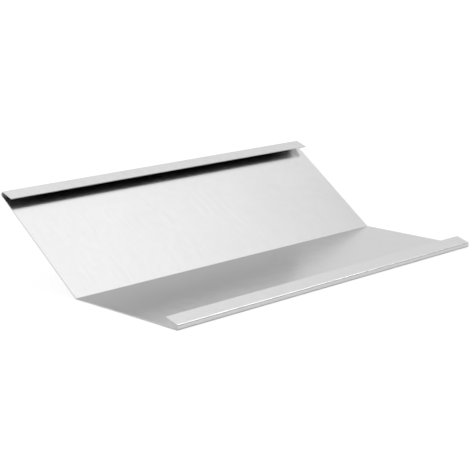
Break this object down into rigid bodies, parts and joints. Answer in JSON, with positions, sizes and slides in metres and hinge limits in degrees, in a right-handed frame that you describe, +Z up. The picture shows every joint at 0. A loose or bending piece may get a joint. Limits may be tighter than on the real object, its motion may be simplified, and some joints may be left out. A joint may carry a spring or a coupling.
{
  "type": "folded sheet metal trough",
  "caption": "Shallow V-shaped trough folded from thin sheet metal, with an inward return lip and an open channel along both long edges.",
  "frame": {"origin": "middle of the footprint, on the ground plane that the front panel lies on", "axes": "+X along the fold, +Y from the front lip to the back lip, +Z up; the front panel is level and the back panel climbs at 36.2 degrees"},
  "size_m": [0.4, 0.2414, 0.0827],
  "materials": {
    "sheet": "satin cold-rolled stainless sheet, bright at its cut edges"
  },
  "bodies": {
    "root": {"folded_sheet": "sheet"}
  },
  "joints": []
}
